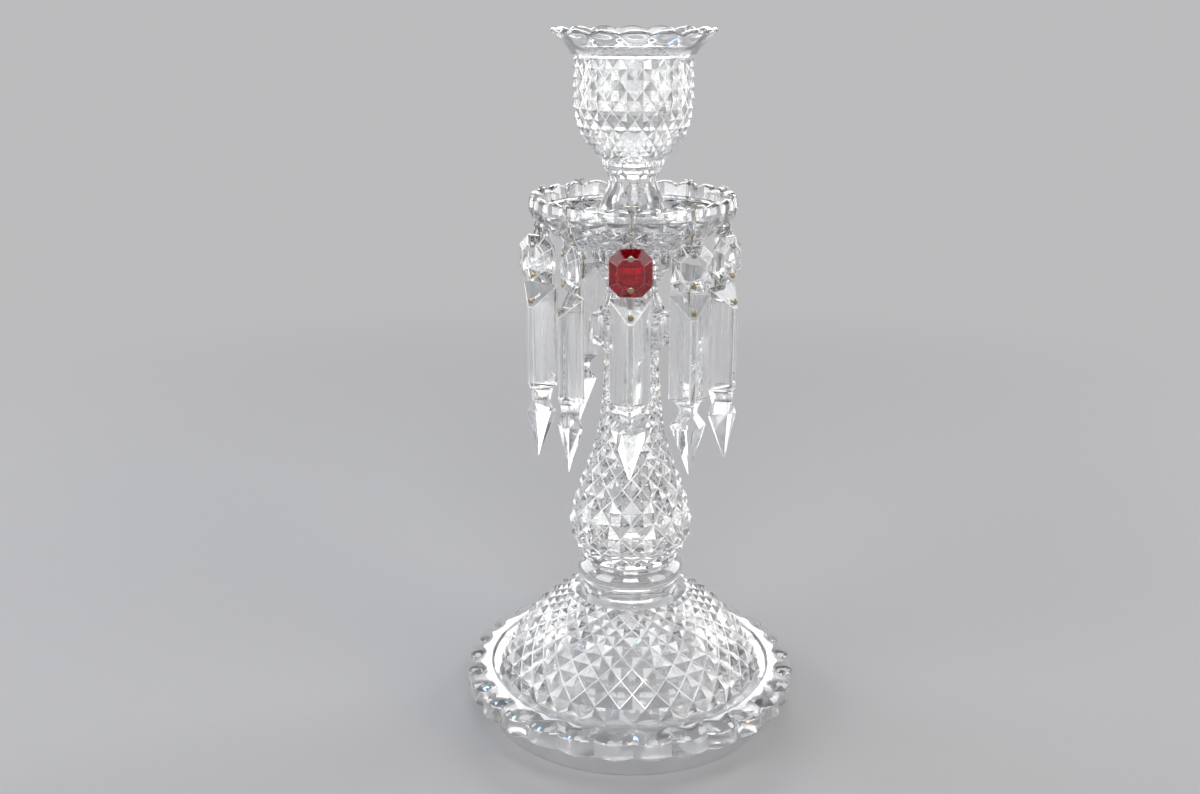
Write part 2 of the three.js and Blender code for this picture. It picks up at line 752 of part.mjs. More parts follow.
// Prism: three-sided bar with a slanted top facet and a hollow cut round its neck, above a spearhead
function prism(name) {
  const middle = prismBack - prismDepth / 2;
  const section = (drop, width, depth, face = prismRidge, edge = prismEdge) => {
    const front = middle - depth / 2;
    const back = middle + depth / 2;
    return [
      [face / 2, front], [width / 2, back - edge], [width / 2, back],
      [-width / 2, back], [-width / 2, back - edge], [-face / 2, front],
    ].map(([x, y], i) => ({ angle: (i * Math.PI) / 3, spot: new THREE.Vector3(x, y, -prismPin - drop) }));
  };
  const tip = (drop, depth) => [{ angle: 0, spot: new THREE.Vector3(0, depth, -prismPin - drop) }];
  const neck = prismBody + prismNeckDrop;
  const widest = neck + spearShoulder;
  const hollow = [90, 45].map((degrees) => {
    const turn = THREE.MathUtils.degToRad(degrees);
    return section(
      prismBody + prismNeckDrop * (1 - Math.cos(turn)),
      THREE.MathUtils.lerp(prismWidth, prismNeckWidth, Math.sin(turn)),
      THREE.MathUtils.lerp(prismDepth, prismNeckDepth, Math.sin(turn)),
    );
  });
  const top = section(-prismTop, prismWidth, prismEdge);
  top.forEach(({ spot }) => { spot.y += (prismDepth - prismEdge) / 2; });
  const stone = loft([
    tip(widest + spearLength, middle),
    section(widest, spearWidth, spearDepth, spearFace, spearEdge),
    ...hollow,
    section(prismBody, prismWidth, prismDepth),
    section(prismNotch, prismWidth, prismDepth),
    top,
    tip(-prismTop, prismBack - prismEdge / 2),
  ]);
  return piece(name, surface(solid(stone).subtract(pinBore(-prismPin))), crystal());
}

function chain(k) {
  const number = String(k + 1).padStart(2, '0');
  const group = new THREE.Group();
  group.add(
    hanger(`hanger_${number}`),
    upperLink(`upper_link_${number}`),
    octagon(`octagon_${number}`, k === 0 ? ruby() : crystal()),
    lowerLink(`lower_link_${number}`),
    prism(`prism_${number}`),
  );
  const azimuth = THREE.MathUtils.degToRad(chainAzimuth(k));
  group.position.set(chainRadius * Math.sin(azimuth), -chainRadius * Math.cos(azimuth), eyeHeightInPan);
  group.rotation.z = azimuth + THREE.MathUtils.degToRad(chainTwist[k]);
  return group;
}

// Assembly: every piece stands on the one below it
const stand = new THREE.Group();
stand.add(basePlate());

const footGroup = new THREE.Group();
footGroup.position.z = plateThickness + seatGap;
footGroup.add(foot());
stand.add(footGroup);

const columnGroup = new THREE.Group();
columnGroup.position.z = footHeight + seatGap;
columnGroup.add(column());
footGroup.add(columnGroup);

const panGroup = new THREE.Group();
panGroup.position.z = columnHeight + seatGap;
panGroup.add(dripPan());
for (let k = 0; k < chainCount; k += 1) panGroup.add(chain(k));
columnGroup.add(panGroup);

const cupGroup = new THREE.Group();
cupGroup.position.z = panFloorThickness + seatGap;
cupGroup.add(candleCup());
panGroup.add(cupGroup);

export default stand;
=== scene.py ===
import math
import bmesh
import bpy
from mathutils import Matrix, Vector


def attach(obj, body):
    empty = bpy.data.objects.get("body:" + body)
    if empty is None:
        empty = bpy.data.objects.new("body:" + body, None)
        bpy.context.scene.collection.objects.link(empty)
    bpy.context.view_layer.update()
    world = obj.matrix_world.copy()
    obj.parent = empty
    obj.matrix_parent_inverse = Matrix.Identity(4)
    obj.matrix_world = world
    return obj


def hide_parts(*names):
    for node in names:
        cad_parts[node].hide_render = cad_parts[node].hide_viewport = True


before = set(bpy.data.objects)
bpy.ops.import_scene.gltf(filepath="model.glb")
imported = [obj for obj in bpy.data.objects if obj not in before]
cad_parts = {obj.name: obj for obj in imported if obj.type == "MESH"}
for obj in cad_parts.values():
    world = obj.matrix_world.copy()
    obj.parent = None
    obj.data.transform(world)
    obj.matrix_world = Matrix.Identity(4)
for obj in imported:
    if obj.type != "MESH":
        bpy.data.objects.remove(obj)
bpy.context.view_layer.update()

# Crystal candlestick with a ring of prism chains, shaped in millimetres and brought to metres piece by piece
metre = 0.001
hair = 0.001  # millimetres, within which two places are the same
crispFrom = {"pressed": 18, "cut": 5, "wire": 40}  # degrees between two faces, from which their edge shows
edgeSlot, insideSlot = 1, 2  # after the plain finish: softened edges, and an inside or a streaked back
drill = {"vertices": 16, "depth": 40}  # a round bit, longer than any hole is deep
press = {"crispAngle": 0.08, "stray": 0.35}  # of diamonds: radians, and how far their border leaves its row
print("frame loaded:", len(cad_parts), "nodes")


# Hand tools
def selectOnly(piece):
    bpy.ops.object.select_all(action="DESELECT")
    piece.select_set(True)
    bpy.context.view_layer.objects.active = piece


def startPiece(name, addShape, **options):  # a primitive at its size and place, in edit mode
    bpy.ops.object.select_all(action="DESELECT")
    addShape(**options)
    piece = bpy.context.object
    piece.name = piece.data.name = name
    bpy.ops.object.mode_set(mode="EDIT")
    return piece


def openMesh():
    return bmesh.from_edit_mesh(bpy.context.edit_object.data)


def choose(mode, test=lambda part: True):  # points, edges or faces that pass the test, and no others
    bpy.ops.mesh.select_mode(type=mode)
    bpy.ops.mesh.select_all(action="DESELECT")
    mesh = openMesh()
    for part in {"VERT": mesh.verts, "EDGE": mesh.edges, "FACE": mesh.faces}[mode]:
        if test(part):
            part.select_set(True)
    mesh.select_flush_mode()
    bmesh.update_edit_mesh(bpy.context.edit_object.data)


def extrude(move):
    bpy.ops.mesh.extrude_region_move(TRANSFORM_OT_translate={"value": move})


def softenEdges(width, clamp=True):  # the chosen edges become narrow flats with the edge finish
    bpy.ops.mesh.bevel(offset=width, segments=1, affect="EDGES", clamp_overlap=clamp, material=edgeSlot)


def addRing(count, radius, height):
    bpy.ops.mesh.primitive_circle_add(vertices=count, radius=radius, location=(0, 0, height))


def pullRing(start, end, turn=0.0):  # the chosen ring is extruded to the next radius and height
    extrude((0, 0, end[1] - start[1]))
    grow = end[0] / start[0]
    bpy.ops.transform.resize(value=(grow, grow, 1), center_override=(0, 0, end[1]))
    if turn:
        bpy.ops.transform.rotate(value=math.radians(turn), orient_axis="Z", center_override=(0, 0, end[1]))


def pullRings(profile):
    for start, end in zip(profile, profile[1:]):
        pullRing(start, end)


def sleeve(count, profile):  # one more round wall, through rows of radius and height
    addRing(count, *profile[0])
    pullRings(profile)


def startTurned(name, count, profile):  # a new piece with such a wall
    piece = startPiece(name, bpy.ops.mesh.primitive_circle_add, vertices=count, radius=profile[0][0])
    choose("VERT")
    pullRings(profile)
    return piece


def isOpenAt(edge, radius, height, slack=0.45):
    return len(edge.link_faces) == 1 and all(
        abs(v.co.z - height) < 20 * hair and abs(v.co.xy.length - radius) < slack for v in edge.verts)


def joinRings(first, second, slack=0.45):
    choose("EDGE", lambda edge: isOpenAt(edge, *first, slack) or isOpenAt(edge, *second, slack))
    bpy.ops.mesh.bridge_edge_loops()


def capRing(radius, height):
    choose("EDGE", lambda edge: isOpenAt(edge, radius, height))
    bpy.ops.mesh.edge_face_add()


def faceOutwards():
    choose("FACE")
    bpy.ops.mesh.normals_make_consistent(inside=False)


def between(first, second, share):
    return first + (second - first) * share


def evenTurns(count, first=0.0):  # round the axis, from the front to the right
    return [math.radians(first + k * 360 / count) for k in range(count)]


def spotAt(turn, reach, height):
    return reach * math.sin(turn), -reach * math.cos(turn), height


def smoothOutline(points, steps=240):  # a smooth line through points of radius and height
    last = len(points) - 1
    spots = []
    for i in range(steps + 1):
        at = last * i / steps
        k = min(int(at), last)
        t = at - k
        before, start, end, after = (Vector(points[min(max(k + j, 0), last)]) for j in (-1, 0, 1, 2))
        leave, arrive = (end - before) / 2, (after - start) / 2
        cubed = 2 * start - 2 * end + leave + arrive
        squared = 3 * end - 3 * start - 2 * leave - arrive
        spots.append(cubed * t**3 + squared * t**2 + leave * t + start)
    return spots


def latticeRows(outline, around, aspect, depth):  # rows spaced so that every diamond keeps its shape
    spots = smoothOutline(outline)
    reach = [0.0]
    for a, b in zip(spots, spots[1:]):
        reach.append(reach[-1] + 2 * (b - a).length / (a.x + b.x))
    count = max(2, round(reach[-1] / (aspect * math.pi / around)))
    rows = []
    for row in range(count + 1):
        target = reach[-1] * row / count
        after = max(1, next(i for i, value in enumerate(reach) if value >= target - 1e-9))
        share = (target - reach[after - 1]) / (reach[after] - reach[after - 1])
        crest = spots[after - 1].lerp(spots[after], share)
        along = (spots[after] - spots[after - 1]).normalized()
        inward = depth * math.pi * crest.x / around
        rows.append((crest.x - along.y * inward, crest.y + along.x * inward))
    return rows


def diamondBand(outline, around, aspect, depth, softness):  # a wall of pyramids with soft grooves between
    rows = latticeRows(outline, around, aspect, depth)
    addRing(around, *rows[0])
    for i, (start, end) in enumerate(zip(rows, rows[1:])):
        pullRing(start, end, (1 if i % 2 else -1) * 180 / around)
    low, high = rows[0][1] - 10 * hair, rows[-1][1] + 10 * hair
    inBand = lambda part: all(low < v.co.z < high for v in part.verts)
    inner = lambda edge: inBand(edge) and len(edge.link_faces) == 2
    choose("FACE", inBand)
    bpy.ops.mesh.quads_convert_to_tris(quad_method="SHORTEST_DIAGONAL")
    choose("EDGE", lambda edge: inner(edge) and abs(edge.verts[0].co.z - edge.verts[1].co.z) < hair / 10)
    bpy.ops.mesh.dissolve_edges(use_verts=False, use_face_split=False)
    choose("FACE", inBand)
    bpy.ops.mesh.normals_make_consistent(inside=False)
    face = next(f for f in openMesh().faces if inBand(f))
    if face.normal.xy.dot(face.calc_center_median().xy) < 0:
        bpy.ops.mesh.flip_normals()
    rise = (depth + math.pi / (4 * around)) * 2 / (1 + aspect)
    bpy.ops.mesh.poke(offset=rise, use_relative_offset=True, center_mode="MEDIAN")
    choose("EDGE", lambda edge: inner(edge) and all(
        len(v.link_edges) > 4 and not v.is_boundary for v in edge.verts))  # grooves, and not ridges
    softenEdges(softness, False)
    choose("EDGE", lambda edge: inBand(edge) and edge.calc_face_angle(0) > press["crispAngle"])
    bpy.ops.mesh.mark_sharp()
    isBorder = lambda edge: len(edge.link_faces) == 1 and all(
        low - press["stray"] < v.co.z < high + press["stray"] for v in edge.verts)
    edges = [edge for edge in openMesh().edges if isBorder(edge)]
    border = sorted((v.co.z, v.co.xy.length) for edge in edges for v in edge.verts)
    return border[0][::-1], border[-1][::-1]


def placeInLobe(vertex, lobes, lobeInFront):  # 0 on the crest of a lobe, 0.5 in a valley
    turn = math.atan2(vertex.co.x, -vertex.co.y) / (2 * math.pi) * lobes + (0.5 if lobeInFront else 0)
    return abs(turn % 1 - 0.5)


def lobedSleeve(lobes, steps, profile, lobeInFront=False):  # rows: radius, height, valley depth, valley sag
    sleeve(lobes * steps, [row[:2] for row in profile])
    for radius, height, depth, sag in profile:
        if not depth and not sag:
            continue
        for k in range(1, steps // 2 + 1):
            share = k / steps
            choose("VERT", lambda v: abs(v.co.z - height) < hair and abs(v.co.xy.length - radius) < 10 * hair
                   and abs(placeInLobe(v, lobes, lobeInFront) - share) < 1e-3)
            fold = 4 * share * share
            shrink = 1 - depth * fold / radius
            bpy.ops.transform.resize(value=(shrink, shrink, 1), center_override=(0, 0, height))
            if sag:
                bpy.ops.transform.translate(value=(0, 0, -sag * fold))


def settle(piece):  # its place, turn and size go into its mesh
    selectOnly(piece)
    bpy.ops.object.transform_apply(location=True, rotation=True, scale=True)


def setAt(piece, height):
    piece.location.z = height * metre
    settle(piece)
    bpy.ops.object.shade_smooth_by_angle(angle=math.radians(crispFrom["pressed"]))


def closePiece(piece, height):  # out of edit mode, to metres and up to its place
    faceOutwards()
    mesh = openMesh()
    loose = [edge for edge in mesh.edges if len(edge.link_faces) != 2]
    print(piece.name, len(mesh.faces), "faces", len(loose), "open edges")
    bpy.ops.object.mode_set(mode="OBJECT")
    piece.scale = (metre,) * 3
    setAt(piece, height)


def joinObjects(parts, size):
    bpy.ops.object.select_all(action="DESELECT")
    for part in parts:
        part.select_set(True)
    whole = bpy.context.view_layer.objects.active = parts[0]
    if len(parts) > 1:
        bpy.ops.object.join()
    settle(whole)
    whole.scale = (size,) * 3
    settle(whole)
    return whole


def cutAt(piece, spots, size, addShape, **options):  # the same shape is taken out of a piece at every spot
    cutters = []
    for spot in spots:
        cutters.append(startPiece("cutter", addShape, location=spot, **options))
        bpy.ops.object.mode_set(mode="OBJECT")
    cutter = joinObjects(cutters, size)
    selectOnly(piece)
    cut = piece.modifiers.new("cut", "BOOLEAN")
    cut.operation, cut.solver, cut.object = "DIFFERENCE", "EXACT", cutter
    bpy.ops.object.modifier_apply(modifier=cut.name)
    bpy.data.objects.remove(cutter, do_unlink=True)


def startGlass(name, plain):  # an empty piece in edit mode, with its three finishes
    piece = startPiece(name, bpy.ops.mesh.primitive_circle_add, vertices=8, radius=1)
    choose("VERT")
    bpy.ops.mesh.delete(type="VERT")
    for material in (plain, polishedEdge, plungerSide):
        piece.data.materials.append(material)
    return piece


def lineInside(piece, bottom, isInside):  # faces whose radius and height, in millimetres, lie inside
    for face in piece.data.polygons:
        spot = face.center / metre
        if isInside(spot.xy.length, spot.z - bottom):
            face.material_index = insideSlot


def handOver(piece, body, nodes, material=None):
    if material:
        piece.data.materials.append(material)
    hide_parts(*nodes)
    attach(piece, body)


# Effects shared by the materials
def newGroup(name, inputs):  # with the colour, roughness and normal that every finish puts out
    group = bpy.data.node_groups.new(name, "ShaderNodeTree")
    for label, value in inputs.items():
        kind = "NodeSocketColor" if isinstance(value, tuple) else "NodeSocketFloat"
        group.interface.new_socket(name=label, in_out="INPUT", socket_type=kind).default_value = value
    for label, kind in (("Color", "Color"), ("Roughness", "Float"), ("Normal", "Vector")):
        group.interface.new_socket(name=label, in_out="OUTPUT", socket_type="NodeSocket" + kind)
    return group, group.nodes.new("NodeGroupInput").outputs


def closeGroup(group, colour, roughness, normal):
    put = group.nodes.new("NodeGroupOutput").inputs
    for label, source in (("Color", colour), ("Roughness", roughness), ("Normal", normal)):
        group.links.new(source, put[label])
    return group


def addNode(tree, kind, **settings):  # a setting is a number or a colour, or the output that feeds it
    node = tree.nodes.new("ShaderNode" + kind)
    for key, value in settings.items():
        if isinstance(value, bpy.types.NodeSocket):
            tree.links.new(value, node.inputs[key])
        elif key in node.inputs:
            node.inputs[key].default_value = value
        else:
            setattr(node, key, value)
    return node


def addNoise(tree, where, scale, detail, roughness):
    node = addNode(tree, "TexNoise", Vector=where, Scale=scale, Detail=detail, Roughness=roughness)
    return node.outputs["Fac"]


def addRange(tree, source, low, high, **settings):  # 0 at the low value, 1 at the high one
    node = addNode(tree, "MapRange", Value=source, **{"From Min": low, "From Max": high}, **settings)
    return node.outputs["Result"]


def addMath(tree, operation, first, second, **settings):
    node = addNode(tree, "Math", operation=operation, **settings)
    tree.links.new(first, node.inputs[0])
    tree.links.new(second, node.inputs[1])
    return node.outputs[0]


def addMix(tree, kind, share, first, second):
    node = addNode(tree, "Mix", data_type=kind)
    place = {"FLOAT": 2, "RGBA": 6}[kind]
    for k, source in ((0, share), (place, first), (place + 1, second)):
        tree.links.new(source, node.inputs[k])
    return node.outputs[{"FLOAT": 0, "RGBA": 2}[kind]]


def buildMouldSkin():  # slow waves and fine chill marks that pressed glass keeps from its mould
    group, given = newGroup("mouldSkin", {
        "Wave Size": 160.0, "Wave Height": 0.03, "Chill Marks": 0.04, "Clean Roughness": 0.0,
        "Dull Roughness": 0.06, "Tint": (0.995, 0.998, 1.0, 1), "Deep Tint": (0.975, 0.985, 0.99, 1)})
    where = addNode(group, "TexCoord").outputs["Object"]
    waves = addNoise(group, where, given["Wave Size"], 2.0, 0.45)
    marks = addNoise(group, where, 1900.0, 3.0, 0.6)
    patches = addNoise(group, where, 38.0, 4.0, 0.6)
    dull = addRange(group, patches, 0.52, 0.72)
    slow = addNode(group, "Bump", Distance=0.0004, Strength=given["Wave Height"], Height=waves)
    fine = addNode(group, "Bump", Distance=0.00003, Strength=given["Chill Marks"], Height=marks,
                   Normal=slow.outputs["Normal"])
    return closeGroup(group, addMix(group, "RGBA", patches, given["Tint"], given["Deep Tint"]),
                      addMix(group, "FLOAT", dull, given["Clean Roughness"], given["Dull Roughness"]),
                      fine.outputs["Normal"])


def buildDrawnStreaks():  # upright streaks that the polishing wheel leaves on a long flat of glass
    group, given = newGroup("drawnStreaks", {
        "Streak Size": 420.0, "Streak Length": 0.02, "Streak Height": 0.1, "Clear Roughness": 0.03,
        "Misty Roughness": 0.36, "Tint": (0.995, 0.998, 1.0, 1)})
    spot = addNode(group, "SeparateXYZ", Vector=addNode(group, "TexCoord").outputs["Object"]).outputs
    drawn = addMath(group, "MULTIPLY", spot["Z"], given["Streak Length"])
    pulled = addNode(group, "CombineXYZ", X=spot["X"], Y=spot["Y"], Z=drawn).outputs[0]
    streaks = addNoise(group, pulled, given["Streak Size"], 2.0, 0.55)
    misty = addRange(group, streaks, 0.42, 0.58, interpolation_type="SMOOTHSTEP")
    bump = addNode(group, "Bump", Distance=0.0002, Strength=given["Streak Height"], Height=streaks)
    return closeGroup(group, given["Tint"],
                      addMix(group, "FLOAT", misty, given["Clear Roughness"], given["Misty Roughness"]),
                      bump.outputs["Normal"])


def buildMetalWear():  # grain drawn round the axis, with stains and bright rubbed spots
    group, given = newGroup("metalWear", {
        "Metal": (0.86, 0.86, 0.88, 1), "Stain": (0.74, 0.74, 0.76, 1), "Stain Amount": 0.4,
        "Stain Size": 60.0, "Grain Size": 2600.0, "Grain Height": 0.3,
        "Low Roughness": 0.3, "High Roughness": 0.46})
    where = addNode(group, "TexCoord").outputs["Object"]
    spot = addNode(group, "SeparateXYZ", Vector=where).outputs
    flat = addNode(group, "CombineXYZ", X=spot["X"], Y=spot["Y"]).outputs[0]
    reach = addNode(group, "VectorMath", operation="LENGTH", Vector=flat).outputs["Value"]
    track = addNode(group, "CombineXYZ", X=reach, Z=spot["Z"]).outputs[0]
    grain = addNoise(group, track, given["Grain Size"], 4.0, 0.7)
    stains = addNoise(group, where, given["Stain Size"], 5.0, 0.65)
    stained = addMath(group, "MULTIPLY", addRange(group, stains, 0.4, 0.7), given["Stain Amount"])
    bump = addNode(group, "Bump", Distance=0.00004, Strength=given["Grain Height"], Height=grain)
    return closeGroup(group, addMix(group, "RGBA", stained, given["Metal"], given["Stain"]),
                      addMix(group, "FLOAT", grain, given["Low Roughness"], given["High Roughness"]),
                      bump.outputs["Normal"])


def makeMaterial(name, group, effectValues, *shaderValues):
    material = bpy.data.materials.new(name)
    material.use_nodes = True
    tree = material.node_tree
    shader = tree.nodes["Principled BSDF"]
    effect = addNode(tree, "Group", node_tree=group)
    for key, value in effectValues.items():
        effect.inputs[key].default_value = value
    for put, taken in (("Color", "Base Color"), ("Roughness", "Roughness"), ("Normal", "Normal")):
        tree.links.new(effect.outputs[put], shader.inputs[taken])
    for values in shaderValues:
        for key, value in values.items():
            shader.inputs[key].default_value = value
    return material


mouldSkin, drawnStreaks, metalWear = buildMouldSkin(), buildDrawnStreaks(), buildMetalWear()
glass = {"Transmission Weight": 1.0, "IOR": 1.6, "Metallic": 0.0, "Coat Weight": 1.0, "Coat IOR": 1.9}
metal = {"Metallic": 1.0}
pressedCrystal = makeMaterial(
    "pressedCrystal", mouldSkin, {"Chill Marks": 0.01}, glass, {"Transmission Weight": 0.92})
thinCrystal = makeMaterial("thinCrystal", mouldSkin, {"Chill Marks": 0.01}, glass)
polishedEdge = makeMaterial(
    "polishedEdge", mouldSkin, {"Clean Roughness": 0.2, "Dull Roughness": 0.32},
    glass, {"Transmission Weight": 0.3})
plungerSide = makeMaterial(
    "plungerSide", mouldSkin, {"Wave Height": 0.05, "Clean Roughness": 0.22, "Dull Roughness": 0.34}, glass)
cutCrystal = makeMaterial("cutCrystal", mouldSkin, {"Chill Marks": 0.01, "Dull Roughness": 0.025}, glass)
streakedBack = makeMaterial("streakedBack", drawnStreaks, {}, glass)
rubyCrystal = makeMaterial(
    "rubyCrystal", mouldSkin,
    {"Chill Marks": 0.01, "Tint": (0.5, 0.001, 0.009, 1), "Deep Tint": (0.24, 0.0005, 0.004, 1)},
    glass, {"Coat Weight": 0.25, "Coat IOR": 1.6})
rubyEdge = makeMaterial(
    "rubyEdge", mouldSkin,
    {"Clean Roughness": 0.2, "Dull Roughness": 0.3,
     "Tint": (0.4, 0.06, 0.1, 1), "Deep Tint": (0.3, 0.04, 0.07, 1)},
    glass, {"Transmission Weight": 0.5, "Coat Weight": 0.6, "Coat IOR": 1.6})
satinPlate = makeMaterial("satinPlate", metalWear, {}, metal)
paleWire = makeMaterial(
    "paleWire", metalWear,
    {"Metal": (0.44, 0.42, 0.38, 1), "Stain": (0.24, 0.2, 0.14, 1), "Stain Size": 900.0, "Grain Height": 0.1,
     "Low Roughness": 0.18, "High Roughness": 0.3}, metal)
brassPin = makeMaterial(
    "brassPin", metalWear,
    {"Metal": (0.44, 0.37, 0.24, 1), "Stain": (0.2, 0.15, 0.09, 1), "Stain Size": 700.0, "Stain Amount": 0.6,
     "Grain Height": 0.1, "Low Roughness": 0.2, "High Roughness": 0.34}, metal)
print("materials ready")

# Base plate: a turned disc under the foot
plate = {"radius": 63.7, "thickness": 13.2, "edge": 0.8, "sides": 160}


def makeBasePlate():
    edge = plate["edge"]
    lower = [(plate["radius"] - edge + math.sin(turn) * edge, (1 - math.cos(turn)) * edge)
             for turn in map(math.radians, (0, 30, 60, 90))]
    profile = lower + [(radius, plate["thickness"] - height) for radius, height in reversed(lower)]
    piece = startTurned("turnedBasePlate", plate["sides"], profile)
    capRing(*profile[0])
    capRing(*profile[-1])
    closePiece(piece, 0)
    handOver(piece, "stand", ["base_plate"], satinPlate)


makeBasePlate()
print("base plate done")

# Foot: hollow dome of diamonds inside a plain ridge and a rim of petals
foot = {
    "bottom": 13.5, "sides": 96, "lobes": 28, "lobeSteps": 8,
    "rim": [(74.44, 0.0, 2.6, 0), (74.94, 0.5, 2.6, 0), (74.94, 7.3, 2.6, 0), (74.64, 7.9, 2.6, 0.2),
            (74.04, 8.2, 2.6, 0.5), (72.4, 9.0, 2.08, 1.0), (70.2, 9.7, 1.3, 1.0), (68.2, 10.05, 0.65, 0.6),
            (66.4, 10.14, 0, 0), (64.6, 10.11, 0, 0), (63.6, 9.9, 0, 0), (62.8, 9.3, 0, 0),
            (62.4, 8.9, 0, 0)],
    "domeBottom": 8.8, "domeRadius": 60.2, "domeRise": 37.1, "domeTopRadius": 26.4, "bow": 4.2,
    "diamonds": {"around": 32, "aspect": 1.14, "depth": 0.38, "softness": 0.26},
    "waist": [(22.5, 45.9), (21.65, 46.3), (21.3, 47.1), (21.3, 50.5)],
    "collarBottom": 50.7, "collarHeight": 9.2, "collarBulge": 2.5, "collarRoundness": 0.8,
    "top": [(21.3, 59.9), (20.8, 60.9), (8.4, 60.9), (8.4, 57.6)],  # with the recess for the column's peg
    "hollowRadius": 54.0, "hollowHeight": 40.0, "hollowPeak": 0.45,
}


def makeFoot():
    f = foot
    slope = math.atan2(f["domeRise"], f["domeRadius"] - f["domeTopRadius"])
    dome = []
    for share in (0, 0.25, 0.5, 0.75, 1):
        bow = f["bow"] * math.sin(math.pi * share)
        dome.append((between(f["domeRadius"], f["domeTopRadius"], share) + bow * math.sin(slope),
                     f["domeBottom"] + f["domeRise"] * share + bow * math.cos(slope)))
    piece = startGlass("pressedFoot", pressedCrystal)
    low, high = diamondBand(dome, **f["diamonds"])
    lobedSleeve(f["lobes"], f["lobeSteps"], f["rim"])
    joinRings(f["rim"][-1][:2], low)
    collar = [(f["waist"][-1][0] + f["collarBulge"] * math.sin(share * math.pi) ** f["collarRoundness"],
               f["collarBottom"] + f["collarHeight"] * share)
              for share in (step / 12 for step in range(1, 12))]
    crown = f["waist"] + collar + f["top"]
    sleeve(f["sides"], crown)
    joinRings(high, crown[0])
    capRing(*crown[-1])
    hollow = [(f["hollowRadius"] * math.sin(turn), f["hollowHeight"] * math.cos(turn))
              for turn in (math.radians(90 * step / 12) for step in range(1, 13))]
    hollow[-1] = (f["hollowRadius"], 0.0)
    sleeve(f["sides"], hollow)
    capRing(*hollow[0])
    bpy.ops.mesh.poke(offset=f["hollowPeak"])
    joinRings(hollow[-1], f["rim"][0][:2], f["rim"][0][2] + 0.1)
    closePiece(piece, f["bottom"])
    lineInside(piece, f["bottom"], lambda radius, height: height > 0.1 and math.hypot(
        radius / f["hollowRadius"], height / f["hollowHeight"]) < 1.02)  # as far as the hollow's own wall
    handOver(piece, "stand", ["foot"])


makeFoot()
print("foot done")

# Column: a baluster of diamonds, a knop with hollows between pointed tiers, a plain neck and a fluted capital
column = {
    "bottom": 74.7, "sides": 96,
    "peg": [(8.0, -3.0), (8.0, 0), (20.6, 0), (21.2, 0.25), (21.4, 0.7), (21.4, 1.1)],
    "shaft": [(22.0, 1.6), (27.1, 9.0), (27.9, 15.5), (24.6, 30.0), (15.9, 54.0), (13.17, 74.2),
              (11.8, 94.4)],
    "shaftDiamonds": {"around": 16, "aspect": 1.14, "depth": 0.38, "softness": 0.24},
    "lowerTier": [(12.4, 95.1), (14.7, 96.5), (15.5, 98.4)],
    "upperTier": [(15.1, 111.4), (15.5, 112.7), (12.9, 115.8)],
    "tierDiamonds": {"around": 12, "aspect": 1.14, "depth": 0.38, "softness": 0.2},
    "knopBottom": 98.7, "knopRadius": 18.6, "knopTop": 111.0, "crown": 3.7, "crownRadius": 15.2,
    "hollows": 6, "hollowReach": 15.7, "ball": {"radius": 40.0, "segments": 96, "ring_count": 64},
    "neckBottom": 116.2, "neckTop": 135.6, "neckFoot": 12.6, "neckRadius": 11.0, "narrowest": 0.3,
    "bellRadius": 16.2, "bellTop": 0.8,
    "groove": [(16.35, 132.52), (16.3, 134.08), (15.9, 134.4), (15.4, 134.72), (15.4, 135.04)],
    "flutes": 24, "fluteSteps": 6,
    "capital": [(16.7, 135.3, 0.3, 0), (17.3, 136.0, 0.9, 0), (17.3, 139.3, 0.9, 0), (16.8, 139.8, 0.4, 0)],
    "bore": [(6.4, 139.8), (6.4, 112.8)],
}


def neckOutline(c):  # narrows above the knop, opens like a bell, and turns in to the groove under the capital
    rows = []
    for share in (step / 14 * c["bellTop"] for step in range(15)):
        if share > c["narrowest"]:
            spread = (share - c["narrowest"]) / (c["bellTop"] - c["narrowest"])
            radius = between(c["neckRadius"], c["bellRadius"], spread**1.5)
        else:
            radius = between(c["neckRadius"], c["neckFoot"], (1 - share / c["narrowest"]) ** 2)
        rows.append((radius, between(c["neckBottom"], c["neckTop"], share)))
    return rows + c["groove"]


def makeColumn():
    c = column
    piece = startGlass("pressedColumn", pressedCrystal)
    low, high = diamondBand(c["shaft"], **c["shaftDiamonds"])
    underLow, underHigh = diamondBand(c["lowerTier"], **c["tierDiamonds"])
    overLow, overHigh = diamondBand(c["upperTier"], **c["tierDiamonds"])
    sleeve(c["sides"], c["peg"])
    capRing(*c["peg"][0])
    joinRings(c["peg"][-1], low)
    joinRings(high, underLow)
    knop = [(c["knopRadius"] - 0.3, c["knopBottom"]), (c["knopRadius"], c["knopBottom"] + 0.3)]
    for turn in (math.radians(90 * step / 8) for step in range(9)):
        knop.append((between(c["crownRadius"], c["knopRadius"], math.cos(turn)),
                     c["knopTop"] - c["crown"] * (1 - math.sin(turn))))
    sleeve(c["sides"], knop)
    joinRings(underHigh, knop[0])
    joinRings(knop[-1], overLow)
    neck = neckOutline(c)
    sleeve(c["sides"], neck)
    joinRings(overHigh, neck[0])
    lobedSleeve(c["flutes"], c["fluteSteps"], c["capital"])
    joinRings(neck[-1], c["capital"][0][:2], 1.0)
    sleeve(c["sides"] // 2, c["bore"])
    joinRings(c["capital"][-1][:2], c["bore"][0], 1.0)
    capRing(*c["bore"][-1])
    closePiece(piece, 0)
    reach, middle = c["hollowReach"] + c["ball"]["radius"], (c["knopBottom"] + c["knopTop"]) / 2
    spots = [spotAt(turn, reach, middle) for turn in evenTurns(c["hollows"])]
    cutAt(piece, spots, metre, bpy.ops.mesh.primitive_uv_sphere_add, **c["ball"])
    setAt(piece, c["bottom"])
    handOver(piece, "stand", ["column"])


makeColumn()
print("column done")

